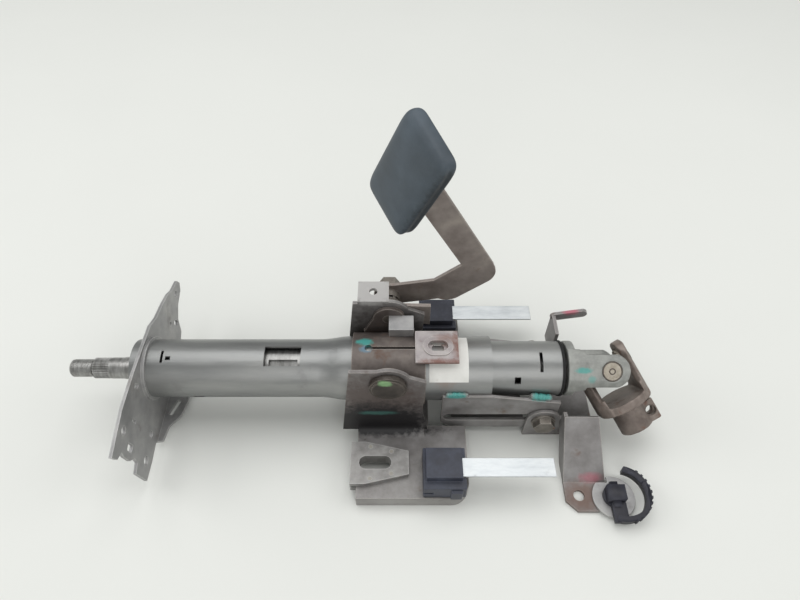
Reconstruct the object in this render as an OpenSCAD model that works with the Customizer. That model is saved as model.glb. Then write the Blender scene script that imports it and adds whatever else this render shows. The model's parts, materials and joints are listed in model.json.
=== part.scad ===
// Tilting steering column, lying upside down on its mounting wings.
// The steering axis is X, from the wheel end towards the universal joint, with Z up.
// The origin is on that axis, in the middle of the plain land that pilots the wheel hub.

/* [Steering shaft] */
// Thread for the wheel nut
thread_d = 14; // [12:0.5:16]
// Length of that thread
thread_l = 18; // [12:1:26]
// Outer diameter of the wheel serration
serration_d = 17; // [16.5:0.1:17.2]
// Length of the serration
serration_l = 14; // [10:1:20]
// Number of teeth on the serration
serration_teeth = 36; // [24:1:44]
// Diameter of the plain land behind the serration
pilot_d = 17.4; // [17.3:0.1:19]
// Length of the plain land
pilot_l = 9; // [6:1:10]
// Diameter of the upper shaft
shaft_d = 20; // [19:0.5:22]
// Outer diameter of the lower shaft tube
shaft_tube_d = 24; // [23.5:0.5:26]
// Diameter of the lock collar
collar_d = 36; // [32:1:38]

/* [Jacket] */
// Outer diameter of the upper jacket
jacket_d = 47.4; // [46:0.2:50]
// Wall of both jackets
jacket_wall = 2; // [1.6:0.1:2.4]
// Outer diameter of the flared part
flare_d = 52.6; // [52:0.2:54]
// Where the flare starts along the axis
flare_x = 172; // [160:1:176]
// Where the flared part ends along the axis
jacket_end_x = 305; // [300:1:312]
// Outer diameter of the lower jacket
lower_jacket_d = 44.4; // [43:0.2:46]
// Where the lower jacket ends along the axis
lower_jacket_end_x = 361; // [358:1:364]
// Length of the lock window
window_l = 29; // [20:1:34]
// Width of the lock window
window_w = 17; // [12:1:22]

/* [Switch plate] */
// Thickness of the plate at the wheel end
plate_t = 2.5; // [2:0.1:3.5]
// Place of the plate along the axis
plate_x = 26; // [24:0.5:28]

/* [Mounting bracket] */
// Thickness of the bracket sheet
sheet_t = 3; // [2.5:0.1:3.4]
// Gap between the two upright walls
wall_gap = 62; // [61.4:0.2:63]
// Height of the wing faces below the axis
wing_drop = 42; // [41:0.5:43]
// Height of the resting edge below the axis
rest_drop = 56; // [54:0.5:58]
// Overall width across the wings
wing_span = 188; // [184:1:194]
// Distance between the two mounting slots
slot_pitch = 132; // [130:1:134]
// Length of each mounting slot
slot_l = 26; // [22:1:28]
// Width of each mounting slot
slot_w = 11; // [9:0.5:12]

/* [Tilt clamp] */
// Place of the clamp axis along the column
clamp_x = 223; // [221:0.5:225]
// Height of the clamp axis above the column axis
clamp_z = 30; // [28:0.5:31]
// Diameter of the clamp studs
stud_d = 10; // [9:0.5:11]
// Diameter of the round head on the near stud
head_d = 29; // [27:1:31]
// Half of the tilt travel in degrees
tilt_half = 2.5; // [1.5:0.1:2.6]
// Width of the lever grip
grip_w = 52; // [40:1:58]
// Height of the lever grip
grip_h = 88; // [70:1:94]
// Thickness of the lever grip
grip_t = 18; // [12:1:22]

/* [Lower pivot] */
// Place of the pivot along the column
pivot_x = 351; // [349:0.5:352]
// Depth of the pivot below the column axis
pivot_drop = 31; // [30:0.5:33]
// Diameter of the pivot bolt
pivot_d = 10; // [8:0.5:11]
// Length of the crash slot
crash_slot_l = 78; // [60:1:80]
// Diameter of the foot hole
foot_hole_d = 9; // [7:0.5:11]

/* [Universal joint] */
// Place of the joint centre along the column
joint_x = 400; // [398:0.5:404]
// Diameter of the needle cups
cup_d = 16; // [15:0.5:17]
// Diameter of the cross pins
cross_d = 10; // [9:0.5:11]
// Turn of the yoke about the column axis, in degrees
yoke_turn = 40; // [30:1:50]
// Bend of the joint at rest, in degrees
joint_bend = 60; // [30:1:60]
// Bore for the intermediate shaft
clamp_bore_d = 17; // [15:0.5:19]

/* [Hidden] */
$fn = 64;

// Clearances between pieces that move on each other, and how far a cut runs past a face
running = 0.05;
slide = 0.3;
gap = 0.5;
over = 1;

// Stations along the shaft
pilot_end_x = pilot_l / 2;
serration_end_x = -pilot_l / 2;
serration_x = serration_end_x - serration_l;
relief_l = 1.5;
thread_x = serration_x - relief_l - thread_l;
shoulder_x = pilot_end_x + 10;
shaft_end_x = 262;
shaft_tube_x = 196;
tooth_depth = 0.7;
groove_runout = 1;
chamfer = 1.2;

// Jacket stations
jacket_x = plate_x - 8;
flare_l = 15;
jacket_r = jacket_d / 2;
flare_r = flare_d / 2;
lower_jacket_r = lower_jacket_d / 2;
lower_jacket_x = 236;
sleeve_l = 18;
window_x = 124;
window_y = -3;

// Switch plate: places and radii of its round holes, as y, z and r
plate_holes = [[-66, 18, 3.5], [-66, -34, 4], [51, -8, 2.2], [46, -30, 3], [-45, -30, 3], [80, -1, 3]];
skirt_drop = 48;
collar_reach = 5;

// Upper and lower ball bearings
bearing_l = 8;
race_t = 2.4;
ball_count = 14;
upper_bearing_x = jacket_x + 1;
lower_bearing_x = lower_jacket_end_x - bearing_l - 6;

// Mounting bracket
wall_in = wall_gap / 2;
wall_out = wall_in + sheet_t;
wing_out = wing_span / 2;
wing_x = 197;
wing_end_x = 287;
wall_x = 194;
wall_end_x = 252;
web_end_x = 256;
bend_r = 8;
wing_corner_r = 14;
rim_gap = 12;
wall_top_z = 46;
flange_l = 25;
flange_w = 21;

// Clamp stack outside the far wall
cheek_out = wall_in - gap;
cheek_t = 3;
tilt_reach = norm([pivot_x - clamp_x, pivot_drop + clamp_z]);
tilt_travel = tilt_reach * sin(tilt_half);
tilt_lean = atan2(pivot_drop + clamp_z, pivot_x - clamp_x);
friction_t = 3;
friction_y = wall_out + gap;
cam_r = 9;
cam_l = 6.5;
lobe_l = 2;
fixed_cam_y = friction_y + friction_t;
moving_cam_y = fixed_cam_y + cam_l + lobe_l + slide;
lever_t = 3;
lever_y = moving_cam_y + cam_l;
washer_y = lever_y + lever_t + slide;
washer_t = 2;
nut_y = washer_y + washer_t;
nut_t = 8;
nut_r = 10;
head_t = 4.5;

// Lever outline, from the hub along the foot of the lever and up the arm
hub_r = 13;
foot_r = 15;
arm_r = 11.3;
elbow = [clamp_x + 71, clamp_z + 29];
foot_mid = [clamp_x + 48, clamp_z + 9];
arm_foot = [clamp_x + 73, clamp_z + 34];
arm_tip = [clamp_x + 23, clamp_z + 122];
grip_at = [clamp_x + 15, 46, clamp_z + 134];
grip_yaw = 31;
grip_roll = 22;
grip_pitch = 100;

// Foot of the slotted tab
tab_foot_l = 22;
tab_foot_w = 8;

// Mounting capsules
capsule_lip = 5;
capsule_x = 192;
capsule_l = 47;
capsule_y = slot_pitch / 2;
capsule_wide = 36;
capsule_narrow = 20;
capsule_inset = 4;
slot_x = 212;
pin_d = 3;

// Energy straps and their plastic guides
strap_w = 15.5;
strap_t = 1.6;
strap_drop = 25;
strap_bend_r = 5;
strap_end_x = 353;
strap_bend_x = 264;
strap_y = 76;
guide_x = 250;
guide_l = 33.5;
guide_w = 34;
guide_h = 24;
guide_wall = 2.5;

// Lower pivot
channel_in = lower_jacket_r + 3.6;
channel_t = 3;
channel_out = channel_in + channel_t;
channel_x = 266;
channel_end_x = 362;
channel_floor_drop = 48;
ear_in = channel_out + slide;
ear_out = ear_in + sheet_t;
ear_r = 14;
leg_x = pivot_x + 14;
leg_w = 34;
leg_taper = 6;
leg_top = [ear_out + 5, -15];
leg_foot = [76, -rest_drop + sheet_t];
foot_out = 100;
foot_hole_at = [leg_x + 11, -foot_out + 13];
bolt_head_l = 7;

// Tongue and clip for the harness
clip_at = [leg_x + 38, -foot_out + 11];
tongue_r = 17;
hook_r = 22;
hook_t = 3;
hook_h = 10;
hook_shift = 5;
tongue_t = 2;
clip_hole_d = 7;

// Universal joint
ear_inner = 15.5;
ear_thick = 7;
yoke_half_w = 14.5;
yoke_base_w = 21;
yoke_reach = 27.5;
yoke_web = 7;
ear_bevel = 4.5;
cup_l = 8.5;
cross_l = 20.5;
clamp_l = 22;
clamp_r = clamp_bore_d / 2 + 5;
clamp_hole_d = 8.4;

steel = "#8f9296";
dark_steel = "#5d5a55";
bright_steel = "#c4c6c8";
rust = "#7a5a48";
black = "#1d1f22";

// Rod along X between two stations
module rod_x(x0, x1, r) {
  translate([x0, 0, 0]) rotate([0, 90, 0]) cylinder(h = x1 - x0, r = r);
}

// Tapered rod along X
module cone_x(x0, x1, r0, r1) {
  translate([x0, 0, 0]) rotate([0, 90, 0]) cylinder(h = x1 - x0, r1 = r0, r2 = r1);
}

// Ring along X
module ring_x(x0, x1, ro, ri) {
  difference() {
    rod_x(x0, x1, ro);
    rod_x(x0 - over, x1 + over, ri);
  }
}

// Rod along Y through a point given by its x and z
module rod_y(x, z, y0, y1, r) {
  translate([x, y0, z]) rotate([-90, 0, 0]) cylinder(h = y1 - y0, r = r);
}

// Sheet in the XZ plane, drawn as x and z, from y0 with a thickness
module sheet_xz(y0, t) {
  translate([0, y0 + t, 0]) rotate([90, 0, 0]) linear_extrude(t) children();
}

// Sheet in the YZ plane, drawn as y and z, from x0 with a thickness
module sheet_yz(x0, t) {
  translate([x0, 0, 0]) rotate([90, 0, 90]) linear_extrude(t) children();
}

// Flat slot shape between two points
module slot_2d(p, q, r) {
  d = q - p;
  translate(p) rotate(atan2(d[1], d[0])) {
    circle(r);
    translate([norm(d), 0]) circle(r);
    translate([0, -r]) square([norm(d), 2 * r]);
  }
}

// Rectangle with round corners
module round_rect(w, h, r) {
  translate([-w / 2 + r, -h / 2]) square([w - 2 * r, h]);
  translate([-w / 2, -h / 2 + r]) square([w, h - 2 * r]);
  for (x = [-1, 1], y = [-1, 1]) translate([x * (w / 2 - r), y * (h / 2 - r)]) circle(r);
}

// Both sides of the column
module both_sides() {
  children();
  mirror([0, 1, 0]) children();
}

// Plan of a capsule, wide towards the wheel
module capsule_plan(inset) {
  wide = capsule_wide / 2 - inset;
  narrow = capsule_narrow / 2 - inset;
  polygon([[capsule_x, -wide], [capsule_x + 12, -wide], [capsule_x + capsule_l - inset, -narrow],
    [capsule_x + capsule_l - inset, narrow], [capsule_x + 12, wide], [capsule_x, wide]]);
}

// Places of the four shear pins of a capsule
module pin_places() {
  for (p = [[16, 13.6], [33, 9.4]], s = [-1, 1])
    translate([capsule_x + p[0], -capsule_y + s * p[1], 0]) children();
}

// Wall of the mounting bracket, with its tilt slot
module bracket_wall() {
  lean = tilt_travel * [sin(tilt_lean), cos(tilt_lean)];
  stud = [clamp_x, clamp_z];
  difference() {
    union() {
      polygon([[wall_x - 10, -wing_drop], [wall_x, wall_top_z], [clamp_x, wall_top_z],
        [wall_end_x, clamp_z + 2], [wall_end_x - 2, -10], [wall_end_x + 3, -wing_drop]]);
      translate(stud) circle(wall_top_z - clamp_z + 2);
    }
    slot_2d(stud - lean, stud + lean, stud_d / 2 + slide);
  }
}

// Plan of a mounting wing with its round outer corner
module wing_plan(inset) {
  inner_y = -wall_in;
  translate([wing_x, -wing_out + inset])
    square([wing_end_x - wing_corner_r - wing_x, wing_out - inset + inner_y]);
  translate([wing_x, -wing_out + wing_corner_r])
    square([wing_end_x - inset - wing_x, wing_out - wing_corner_r + inner_y]);
  translate([wing_end_x - wing_corner_r, -wing_out + wing_corner_r]) circle(wing_corner_r - inset);
}

// One mounting wing with its turned-down rim and the notch for the capsule
module bracket_wing() {
  difference() {
    translate([0, 0, -wing_drop - sheet_t]) linear_extrude(sheet_t) wing_plan(0);
    translate([0, -capsule_y, -wing_drop - sheet_t - over])
      linear_extrude(sheet_t + 2 * over) capsule_plan(capsule_inset);
    pin_places() translate([0, 0, -wing_drop - sheet_t - over])
      cylinder(h = sheet_t + 2 * over, d = pin_d);
  }
  translate([0, 0, -rest_drop]) linear_extrude(rest_drop - wing_drop - sheet_t / 2) difference() {
    wing_plan(0);
    wing_plan(sheet_t);
    translate([wing_x, -wall_out - rim_gap]) square([wing_end_x, wall_out + rim_gap]);
  }
}

module rake_bracket() {
  color(dark_steel) {
    both_sides() {
      sheet_xz(-wall_out, sheet_t) bracket_wall();
      bracket_wing();
      // Rolled bend between the wall and the wing
      translate([wing_x, -wall_out, -wing_drop]) difference() {
        translate([0, -bend_r, 0]) cube([wall_end_x - wing_x, bend_r, bend_r]);
        translate([-over, -bend_r, bend_r]) rotate([0, 90, 0]) cylinder(h = 90, r = bend_r);
      }
    }
    translate([wing_x, -wall_in, -wing_drop - sheet_t]) cube([web_end_x - wing_x, wall_gap, sheet_t]);
    // Tapped flange on top of the far wall
    difference() {
      translate([clamp_x - flange_l, wall_in, wall_top_z]) cube([flange_l, flange_w, sheet_t]);
      translate([clamp_x - flange_l / 2, wall_in + flange_w / 2, wall_top_z - over])
        cylinder(h = sheet_t + 2 * over, d = 6.8);
    }
  }
}

// A capsule grips the wing between two lips, with its slot for the body bolt
module capsule() {
  translate([0, -capsule_y, 0]) difference() {
    union() {
      translate([0, 0, -wing_drop]) linear_extrude(capsule_lip) capsule_plan(0);
      translate([0, 0, -wing_drop - sheet_t]) linear_extrude(sheet_t) capsule_plan(capsule_inset);
      translate([0, 0, -wing_drop - sheet_t - capsule_lip]) linear_extrude(capsule_lip) capsule_plan(0);
    }
    translate([slot_x, 0, -wing_drop - sheet_t - capsule_lip - over])
      linear_extrude(2 * capsule_lip + sheet_t + 2 * over)
        slot_2d([-(slot_l - slot_w) / 2, 0], [(slot_l - slot_w) / 2, 0], slot_w / 2);
    translate([0, capsule_y, 0]) pin_places()
      translate([0, 0, -wing_drop - sheet_t - capsule_lip - over])
        cylinder(h = 2 * capsule_lip + sheet_t + 2 * over, d = pin_d);
  }
}

module near_capsule() { color("#a9abad") capsule(); }

module far_capsule() { color("#a9abad") mirror([0, 1, 0]) capsule(); }

module shear_pins() {
  color("#e4e0d4") both_sides() pin_places()
    translate([0, 0, -wing_drop - sheet_t - capsule_lip])
      cylinder(h = 2 * capsule_lip + sheet_t, d = pin_d);
}

// Flat strap that turns back on itself inside the guide
module strap() {
  translate([0, -strap_y + strap_w / 2, 0]) rotate([90, 0, 0]) linear_extrude(strap_w) {
    low = -strap_drop - 2 * strap_bend_r - strap_t;
    translate([strap_bend_x, -strap_drop]) square([strap_end_x - strap_bend_x, strap_t]);
    translate([strap_bend_x, low]) square([14, strap_t]);
    translate([strap_bend_x, -strap_drop - strap_bend_r]) difference() {
      circle(strap_bend_r + strap_t);
      circle(strap_bend_r);
      translate([0, -20]) square([20, 40]);
    }
  }
}

module near_strap() { color(bright_steel) strap(); }

module far_strap() { color(bright_steel) mirror([0, 1, 0]) strap(); }

// Moulded guide box over the turn of the strap, open below and at the strap's end
module strap_guide() {
  base_z = -wing_drop;
  inner_w = strap_w + 2 * slide;
  translate([0, -strap_y, base_z]) difference() {
    union() {
      translate([guide_x, -guide_w / 2, 0]) cube([guide_l, guide_w, guide_h - 7]);
      translate([guide_x + 2, -guide_w / 2 + 6, 0]) cube([guide_l - 5, guide_w - 9, guide_h]);
      translate([guide_x + guide_l - 12, -guide_w / 2 - 2, 0]) cube([9, guide_w + 2, guide_h - 11]);
    }
    translate([guide_x + guide_wall, -inner_w / 2, -over])
      cube([guide_l, inner_w, guide_h - guide_wall + over]);
    translate([guide_x - over, -guide_w / 2 - over, 6]) cube([9, 9, 2]);
  }
}

module near_strap_guide() { color(black) strap_guide(); }

module far_strap_guide() { color(black) mirror([0, 1, 0]) strap_guide(); }

// Splayed leg beside the near ear, with its turned side and its foot
module mounting_leg() {
  run = norm(leg_foot - leg_top);
  fall = atan2(leg_top[1] - leg_foot[1], leg_foot[0] - leg_top[0]);
  side = 18;
  color(dark_steel) {
    translate([leg_x, -leg_top[0], leg_top[1]]) rotate([fall, 0, 0])
      translate([0, 0, -sheet_t]) linear_extrude(sheet_t)
        polygon([[0, -run], [leg_w, -run], [leg_w - leg_taper, 0], [0, 0]]);
    sheet_yz(leg_x, sheet_t)
      polygon([[-ear_out, leg_top[1] - 1], [-leg_top[0], leg_top[1] - 1], [-leg_foot[0], leg_foot[1] - 1],
        [-leg_foot[0], -rest_drop], [-leg_foot[0] + side, -rest_drop], [-ear_out, leg_top[1] - side]]);
    difference() {
      translate([leg_x, -foot_out, -rest_drop]) cube([leg_w, foot_out - leg_foot[0] + 4, sheet_t]);
      translate([foot_hole_at[0], foot_hole_at[1], -rest_drop - over])
        cylinder(h = sheet_t + 2 * over, d = foot_hole_d);
      for (x = [leg_x, leg_x + leg_w]) translate([x, -foot_out, -rest_drop - over]) rotate(45)
        cube([12, 12, 3 * sheet_t], center = true);
    }
  }
}

module ear_outline() {
  difference() {
    union() {
      translate([pivot_x, -pivot_drop]) circle(ear_r);
      translate([pivot_x - ear_r, -rest_drop])
        square([leg_x + sheet_t - pivot_x + ear_r, rest_drop - pivot_drop]);
      translate([pivot_x, -rest_drop]) square([leg_x + sheet_t - pivot_x, rest_drop - pivot_drop + 4]);
    }
    translate([pivot_x, -pivot_drop]) circle(pivot_d / 2 + running);
  }
}

module lower_bracket() {
  color(dark_steel) {
    both_sides() sheet_xz(-ear_out, sheet_t) ear_outline();
    translate([leg_x, -ear_out, -rest_drop]) cube([leg_w, 2 * ear_out, sheet_t]);
  }
}

// Hooked arm on the far ear
module hook_arm() {
  reach = 23;
  color(dark_steel) {
    translate([leg_x, ear_out, -pivot_drop]) cube([sheet_t, reach, 34]);
    sheet_xz(ear_out + reach - sheet_t, sheet_t)
      slot_2d([leg_x + 3, -pivot_drop + 31], [leg_x + 26, -pivot_drop + 36], 4);
  }
}

module pivot_bolt() {
  color(steel) {
    rod_y(pivot_x, -pivot_drop, -ear_out - bolt_head_l, ear_out + 14, pivot_d / 2);
    rod_y(pivot_x, -pivot_drop, -ear_out - 2, -ear_out, pivot_d);
    translate([pivot_x, -ear_out - bolt_head_l, -pivot_drop]) rotate([-90, 0, 0])
      cylinder(h = bolt_head_l, r = pivot_d * 0.9, $fn = 6);
  }
}

module pivot_nut() {
  color(steel) difference() {
    union() {
      rod_y(pivot_x, -pivot_drop, ear_out, ear_out + 2, pivot_d);
      translate([pivot_x, ear_out, -pivot_drop]) rotate([-90, 0, 0])
        cylinder(h = 9, r = pivot_d * 0.9, $fn = 6);
    }
    rod_y(pivot_x, -pivot_drop, ear_out - over, ear_out + 10, pivot_d / 2);
  }
}

// Round tongue on the foot that carries the harness clip, cut clear of the leg
module clip_bracket() {
  color("#b9bbbd") difference() {
    translate([clip_at[0], clip_at[1], -rest_drop + sheet_t]) cylinder(h = tongue_t, r = tongue_r);
    translate([clip_at[0], clip_at[1], -rest_drop]) cylinder(h = 10, d = clip_hole_d);
    translate([leg_x, -leg_foot[0] - over, -rest_drop]) cube([leg_w + over, leg_foot[0], 10]);
  }
}

// Push-in clip with its ribbed hook round the tongue
module harness_clip() {
  top_z = -rest_drop + sheet_t + tongue_t;
  color(black) translate([clip_at[0], clip_at[1], top_z]) {
    translate([0, 0, -4]) cylinder(h = 6, d = clip_hole_d - 2 * 0.2);
    cylinder(h = 2.5, r = 9);
    translate([-7, -6, 0]) cube([14, 12, 11]);
    translate([-3, -10, 0]) cube([6, 20, 7]);
    translate([hook_shift - 9, -hook_r + 0.5, 0]) cube([11, hook_r - 7, 5]);
    translate([hook_shift, 0, 0]) {
      linear_extrude(hook_h) difference() {
        circle(hook_r);
        circle(hook_r - hook_t);
        polygon([[0, 0], [-60, -160], [-90, 60], [20, 90]]);
      }
      for (a = [-70:12:50]) rotate(a) translate([hook_r - 0.4, -1, 0]) cube([1.4, 2, hook_h]);
    }
  }
}

module upper_jacket() {
  flare_end = flare_x + flare_l;
  inner = jacket_r - jacket_wall;
  flare_inner = flare_r - jacket_wall;
  color(steel) difference() {
    union() {
      rod_x(jacket_x, flare_x, jacket_r);
      cone_x(flare_x, flare_end, jacket_r, flare_r);
      rod_x(flare_end, jacket_end_x, flare_r);
    }
    rod_x(jacket_x - over, flare_x, inner);
    cone_x(flare_x, flare_end, inner, flare_inner);
    rod_x(flare_end, jacket_end_x + over, flare_inner);
    // Window for the steering lock
    translate([window_x, window_y - window_w / 2, 0]) cube([window_l, window_w, jacket_d]);
    // Small locating slots near the plate
    translate([plate_x + 38, -jacket_d, -12]) cube([9, jacket_d, 5]);
    translate([plate_x + 16, -9, 0]) cube([2, 10, jacket_d]);
    translate([plate_x + 20, -7, 0]) cube([4, 3, jacket_d]);
  }
}

module lower_jacket() {
  color(steel) difference() {
    rod_x(lower_jacket_x, lower_jacket_end_x, lower_jacket_r);
    rod_x(lower_jacket_x - over, lower_jacket_end_x + over, lower_jacket_r - jacket_wall);
    // Staking slits round the bearing and a lanced hole
    for (a = [20, 140, 260]) rotate([a, 0, 0])
      translate([lower_bearing_x - 4, -8, 0]) cube([2.5, 16, lower_jacket_d]);
    rotate([60, 0, 0]) translate([jacket_end_x + 18, -3, 0]) cube([5, 6, lower_jacket_d]);
  }
}

module jacket_sleeves() {
  color("#d8d5c8") for (x = [lower_jacket_x + 2, jacket_end_x - sleeve_l - 2])
    ring_x(x, x + sleeve_l, flare_r - jacket_wall, lower_jacket_r);
}

// Outline of the switch plate, seen along the column
module plate_outline() {
  polygon([[94, -2], [91, 4], [76, 8], [68, 13], [55, 17], [36, 21], [23, 27], [-24, 30], [-55, 30],
    [-71, 27], [-90, 23], [-87, 14], [-80, 11], [-81, 5], [-79, -6], [-74, -13], [-74, -20], [-82, -23],
    [-78, -46], [-62, -46], [-46, -44], [-40, -49], [-16, -50], [16, -50], [40, -46], [62, -34],
    [66, -20], [76, -12], [90, -8]]);
}

// Skirt along the lower edge of the plate, turned towards the joint
module plate_skirt() {
  translate([plate_x, 0, -skirt_drop]) linear_extrude(plate_t) difference() {
    polygon([[0, -44], [7, -43], [9, -30], [17, -19], [20, -6], [20, 24], [14, 46], [4, 58], [0, 52]]);
    slot_2d([8, -17], [12, -6], 1.8);
    slot_2d([8, 20], [11, 34], 1.8);
  }
}

// Raised collar of the plate round the tube
module plate_collar() {
  ring_x(plate_x, plate_x + collar_reach, jacket_r + plate_t, jacket_r);
}

module switch_plate() {
  color("#9a9da0") difference() {
    union() {
      sheet_yz(plate_x, plate_t) plate_outline();
      plate_skirt();
      plate_collar();
    }
    rod_x(plate_x - over, plate_x + collar_reach + over, jacket_r);
    for (p = plate_holes)
      translate([0, p[0], p[1]]) rod_x(plate_x - over, plate_x + plate_t + over, p[2]);
    // Oval and square openings
    sheet_yz(plate_x - over, plate_t + 2 * over) {
      slot_2d([-30, 21], [-28, 18], 2);
      slot_2d([-52, 8], [-51.5, 4], 1.4);
      slot_2d([59, -16], [61, -20], 2.4);
      translate([-71, 0]) rotate(10) round_rect(6, 9, 1);
    }
  }
}

// Saddle welded round the flared jacket, with a clamp cheek on each side
module saddle() {
  saddle_r = flare_r + sheet_t;
  slit_w = 2.4;
  slit_x = wall_x + 13;
  color(rust) difference() {
    union() {
      difference() {
        rod_x(wall_x, wall_end_x, saddle_r);
        translate([wall_x - over, -saddle_r, -2 * saddle_r])
          cube([wall_end_x - wall_x + 2 * over, 2 * saddle_r, 2 * saddle_r - 16]);
      }
      both_sides() {
        sheet_xz(-cheek_out, cheek_t) {
          translate([clamp_x, clamp_z]) circle(13);
          translate([wall_x + 8, -20]) square([42, 34]);
          polygon([[wall_x + 8, 13], [wall_x + 50, 13], [clamp_x + 13, clamp_z], [clamp_x - 13, clamp_z]]);
        }
        translate([wall_x + 8, -cheek_out, -10]) cube([42, cheek_out - 20, 12]);
      }
    }
    rod_x(wall_x - over, wall_end_x + over, flare_r);
    translate([slit_x, -slit_w / 2, 0]) cube([wall_end_x, slit_w, saddle_r + over]);
    translate([slit_x, 0, 0]) cylinder(h = saddle_r + over, d = 6);
    rod_y(clamp_x, clamp_z, -cheek_out - over, -cheek_out + cheek_t + over, stud_d / 2);
    rod_y(clamp_x, clamp_z, cheek_out - cheek_t - over, cheek_out + over, stud_d / 2);
  }
}

// Bent stop plate on the far side of the saddle
module stop_plate() {
  stop_t = 2.5;
  stop_y = 13;
  stop_z = clamp_z + 3;
  stop_l = 20;
  color(bright_steel) difference() {
    union() {
      translate([clamp_x, stop_y, stop_z]) cube([stop_l, cheek_out - cheek_t - stop_y, stop_t]);
      translate([clamp_x, stop_y, clamp_z - 8]) cube([stop_l, stop_t, 8 + 3]);
    }
    rod_x(clamp_x - over, clamp_x + stop_l + over, flare_r + sheet_t);
  }
}

module guide_stud() {
  head_y = -wall_out - slide;
  color(dark_steel) {
    rod_y(clamp_x, clamp_z, head_y, -cheek_out + cheek_t, stud_d / 2);
    rod_y(clamp_x, clamp_z, head_y - head_t, head_y, head_d / 2);
    rod_y(clamp_x, clamp_z, head_y - head_t - 1, head_y - head_t, head_d / 2 - 2);
  }
}

module clamp_stud() {
  color(steel) rod_y(clamp_x, clamp_z, cheek_out - cheek_t, nut_y + nut_t + 3, stud_d / 2);
}

// Plate of the clamp stack, which lies along the far wall
module friction_plate() {
  color(rust) sheet_xz(friction_y, friction_t) difference() {
    union() {
      translate([clamp_x, clamp_z]) circle(9.5);
      polygon([[clamp_x - 6, clamp_z - 8], [clamp_x + 34, clamp_z - 16], [clamp_x + 34, clamp_z + 8],
        [clamp_x, clamp_z + 9.5]]);
    }
    translate([clamp_x, clamp_z]) circle(stud_d / 2);
  }
}

// Half of the cam pair: a bored disc with three lobes on one face
module cam(bore_r, lobe_z) {
  lobe_w = 2;
  lobe_in = stud_d / 2 + 0.6;
  lobe_out = cam_r - 0.6;
  difference() {
    cylinder(h = cam_l, r = cam_r);
    translate([0, 0, -over]) cylinder(h = cam_l + 2 * over, r = bore_r);
  }
  for (a = [0:120:240]) rotate(a)
    translate([lobe_in, -lobe_w / 2, lobe_z]) cube([lobe_out - lobe_in, lobe_w, 2 * lobe_l]);
}

module fixed_cam() {
  color("#6c6e70") translate([clamp_x, fixed_cam_y, clamp_z]) rotate([-90, 0, 0])
    cam(stud_d / 2, cam_l - lobe_l);
}

module moving_cam() {
  color("#6c6e70") translate([clamp_x, moving_cam_y, clamp_z]) rotate([-90, 60, 0])
    cam(stud_d / 2 + running, -lobe_l);
}

module thrust_washer() {
  color(bright_steel) difference() {
    rod_y(clamp_x, clamp_z, washer_y, washer_y + washer_t, cam_r);
    rod_y(clamp_x, clamp_z, washer_y - over, washer_y + washer_t + over, stud_d / 2);
  }
}

module clamp_nut() {
  color(steel) difference() {
    translate([clamp_x, nut_y, clamp_z]) rotate([-90, 0, 0]) cylinder(h = nut_t, r = nut_r, $fn = 6);
    rod_y(clamp_x, clamp_z, nut_y - over, nut_y + nut_t + over, stud_d / 2);
  }
}

// Tab with a slotted, raised eye over the jacket
module slotted_tab() {
  tab_x = wall_end_x - 8;
  tab_z = flare_r + sheet_t;
  eye = tab_x + 18;
  color(bright_steel) difference() {
    union() {
      translate([tab_x, -15, tab_z]) cube([34, 30, 2]);
      translate([eye, 0, tab_z]) linear_extrude(3.2) slot_2d([-3, 0], [3, 0], 9);
      // Foot of the tab on the jacket
      translate([wall_end_x + slide, -tab_foot_w / 2, flare_r - 1.5])
        cube([tab_foot_l, tab_foot_w, tab_z - flare_r + 1.5]);
    }
    translate([eye, 0, tab_z - over]) linear_extrude(8) slot_2d([-3, 0], [3, 0], 5);
    translate([eye, 0, flare_r - 3]) cylinder(h = 10, r = 5);
    rod_x(tab_x, jacket_end_x, flare_r);
  }
}

// Bare paper label over the near side and the top of the jacket, notched round the foot of the tab
module label() {
  label_x = wall_end_x + 3;
  label_l = 31;
  label_t = 0.15;
  low = 32;
  high = 125;
  color("white") difference() {
    intersection() {
      ring_x(label_x, label_x + label_l, flare_r + label_t, flare_r);
      sheet_yz(label_x - over, label_l + 2 * over)
        polygon([[0, 0], flare_d * [-cos(low), sin(low)], flare_d * [-cos(high), sin(high)]]);
    }
    translate([label_x - over, -tab_foot_w / 2 - slide, 0])
      cube([wall_end_x + tab_foot_l + 2 * slide - label_x + over, tab_foot_w + 2 * slide, flare_d]);
  }
}

// Channel welded under the jacket, slotted for the pivot bolt
module pivot_channel() {
  length = channel_end_x - channel_x;
  slot_r = pivot_d / 2 + running;
  color(dark_steel) difference() {
    union() {
      both_sides() sheet_xz(-channel_out, channel_t) difference() {
        polygon([[channel_x, 2], [jacket_end_x, 2], [channel_end_x, -8], [channel_end_x, -pivot_drop - 12],
          [channel_end_x - 8, -channel_floor_drop], [channel_x + 10, -channel_floor_drop],
          [channel_x, -pivot_drop - 8]]);
        slot_2d([pivot_x - crash_slot_l, -pivot_drop], [pivot_x, -pivot_drop], slot_r);
      }
      translate([channel_x + 10, -channel_out, -channel_floor_drop])
        cube([length - 34, 2 * channel_out, channel_t]);
      // Welded shelf that meets the jacket
      both_sides() translate([channel_x + 2, -channel_out, -4]) cube([jacket_end_x - channel_x - 6, 8, 6]);
    }
    rod_x(channel_x - over, channel_end_x + over, flare_r);
  }
}

// Ball bearing pieces: fixed race, balls and turning race
module outer_race(x, ro, ri) { ring_x(x, x + bearing_l, ro, ri); }

module ball_set(x, ri, ro) {
  pitch = (ri + ro) / 2;
  ball_r = (ro - ri) / 2 - slide / 2;
  for (i = [0:ball_count - 1]) rotate([i * 360 / ball_count, 0, 0])
    translate([x + bearing_l / 2, 0, pitch]) sphere(r = ball_r, $fn = 24);
}

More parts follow.
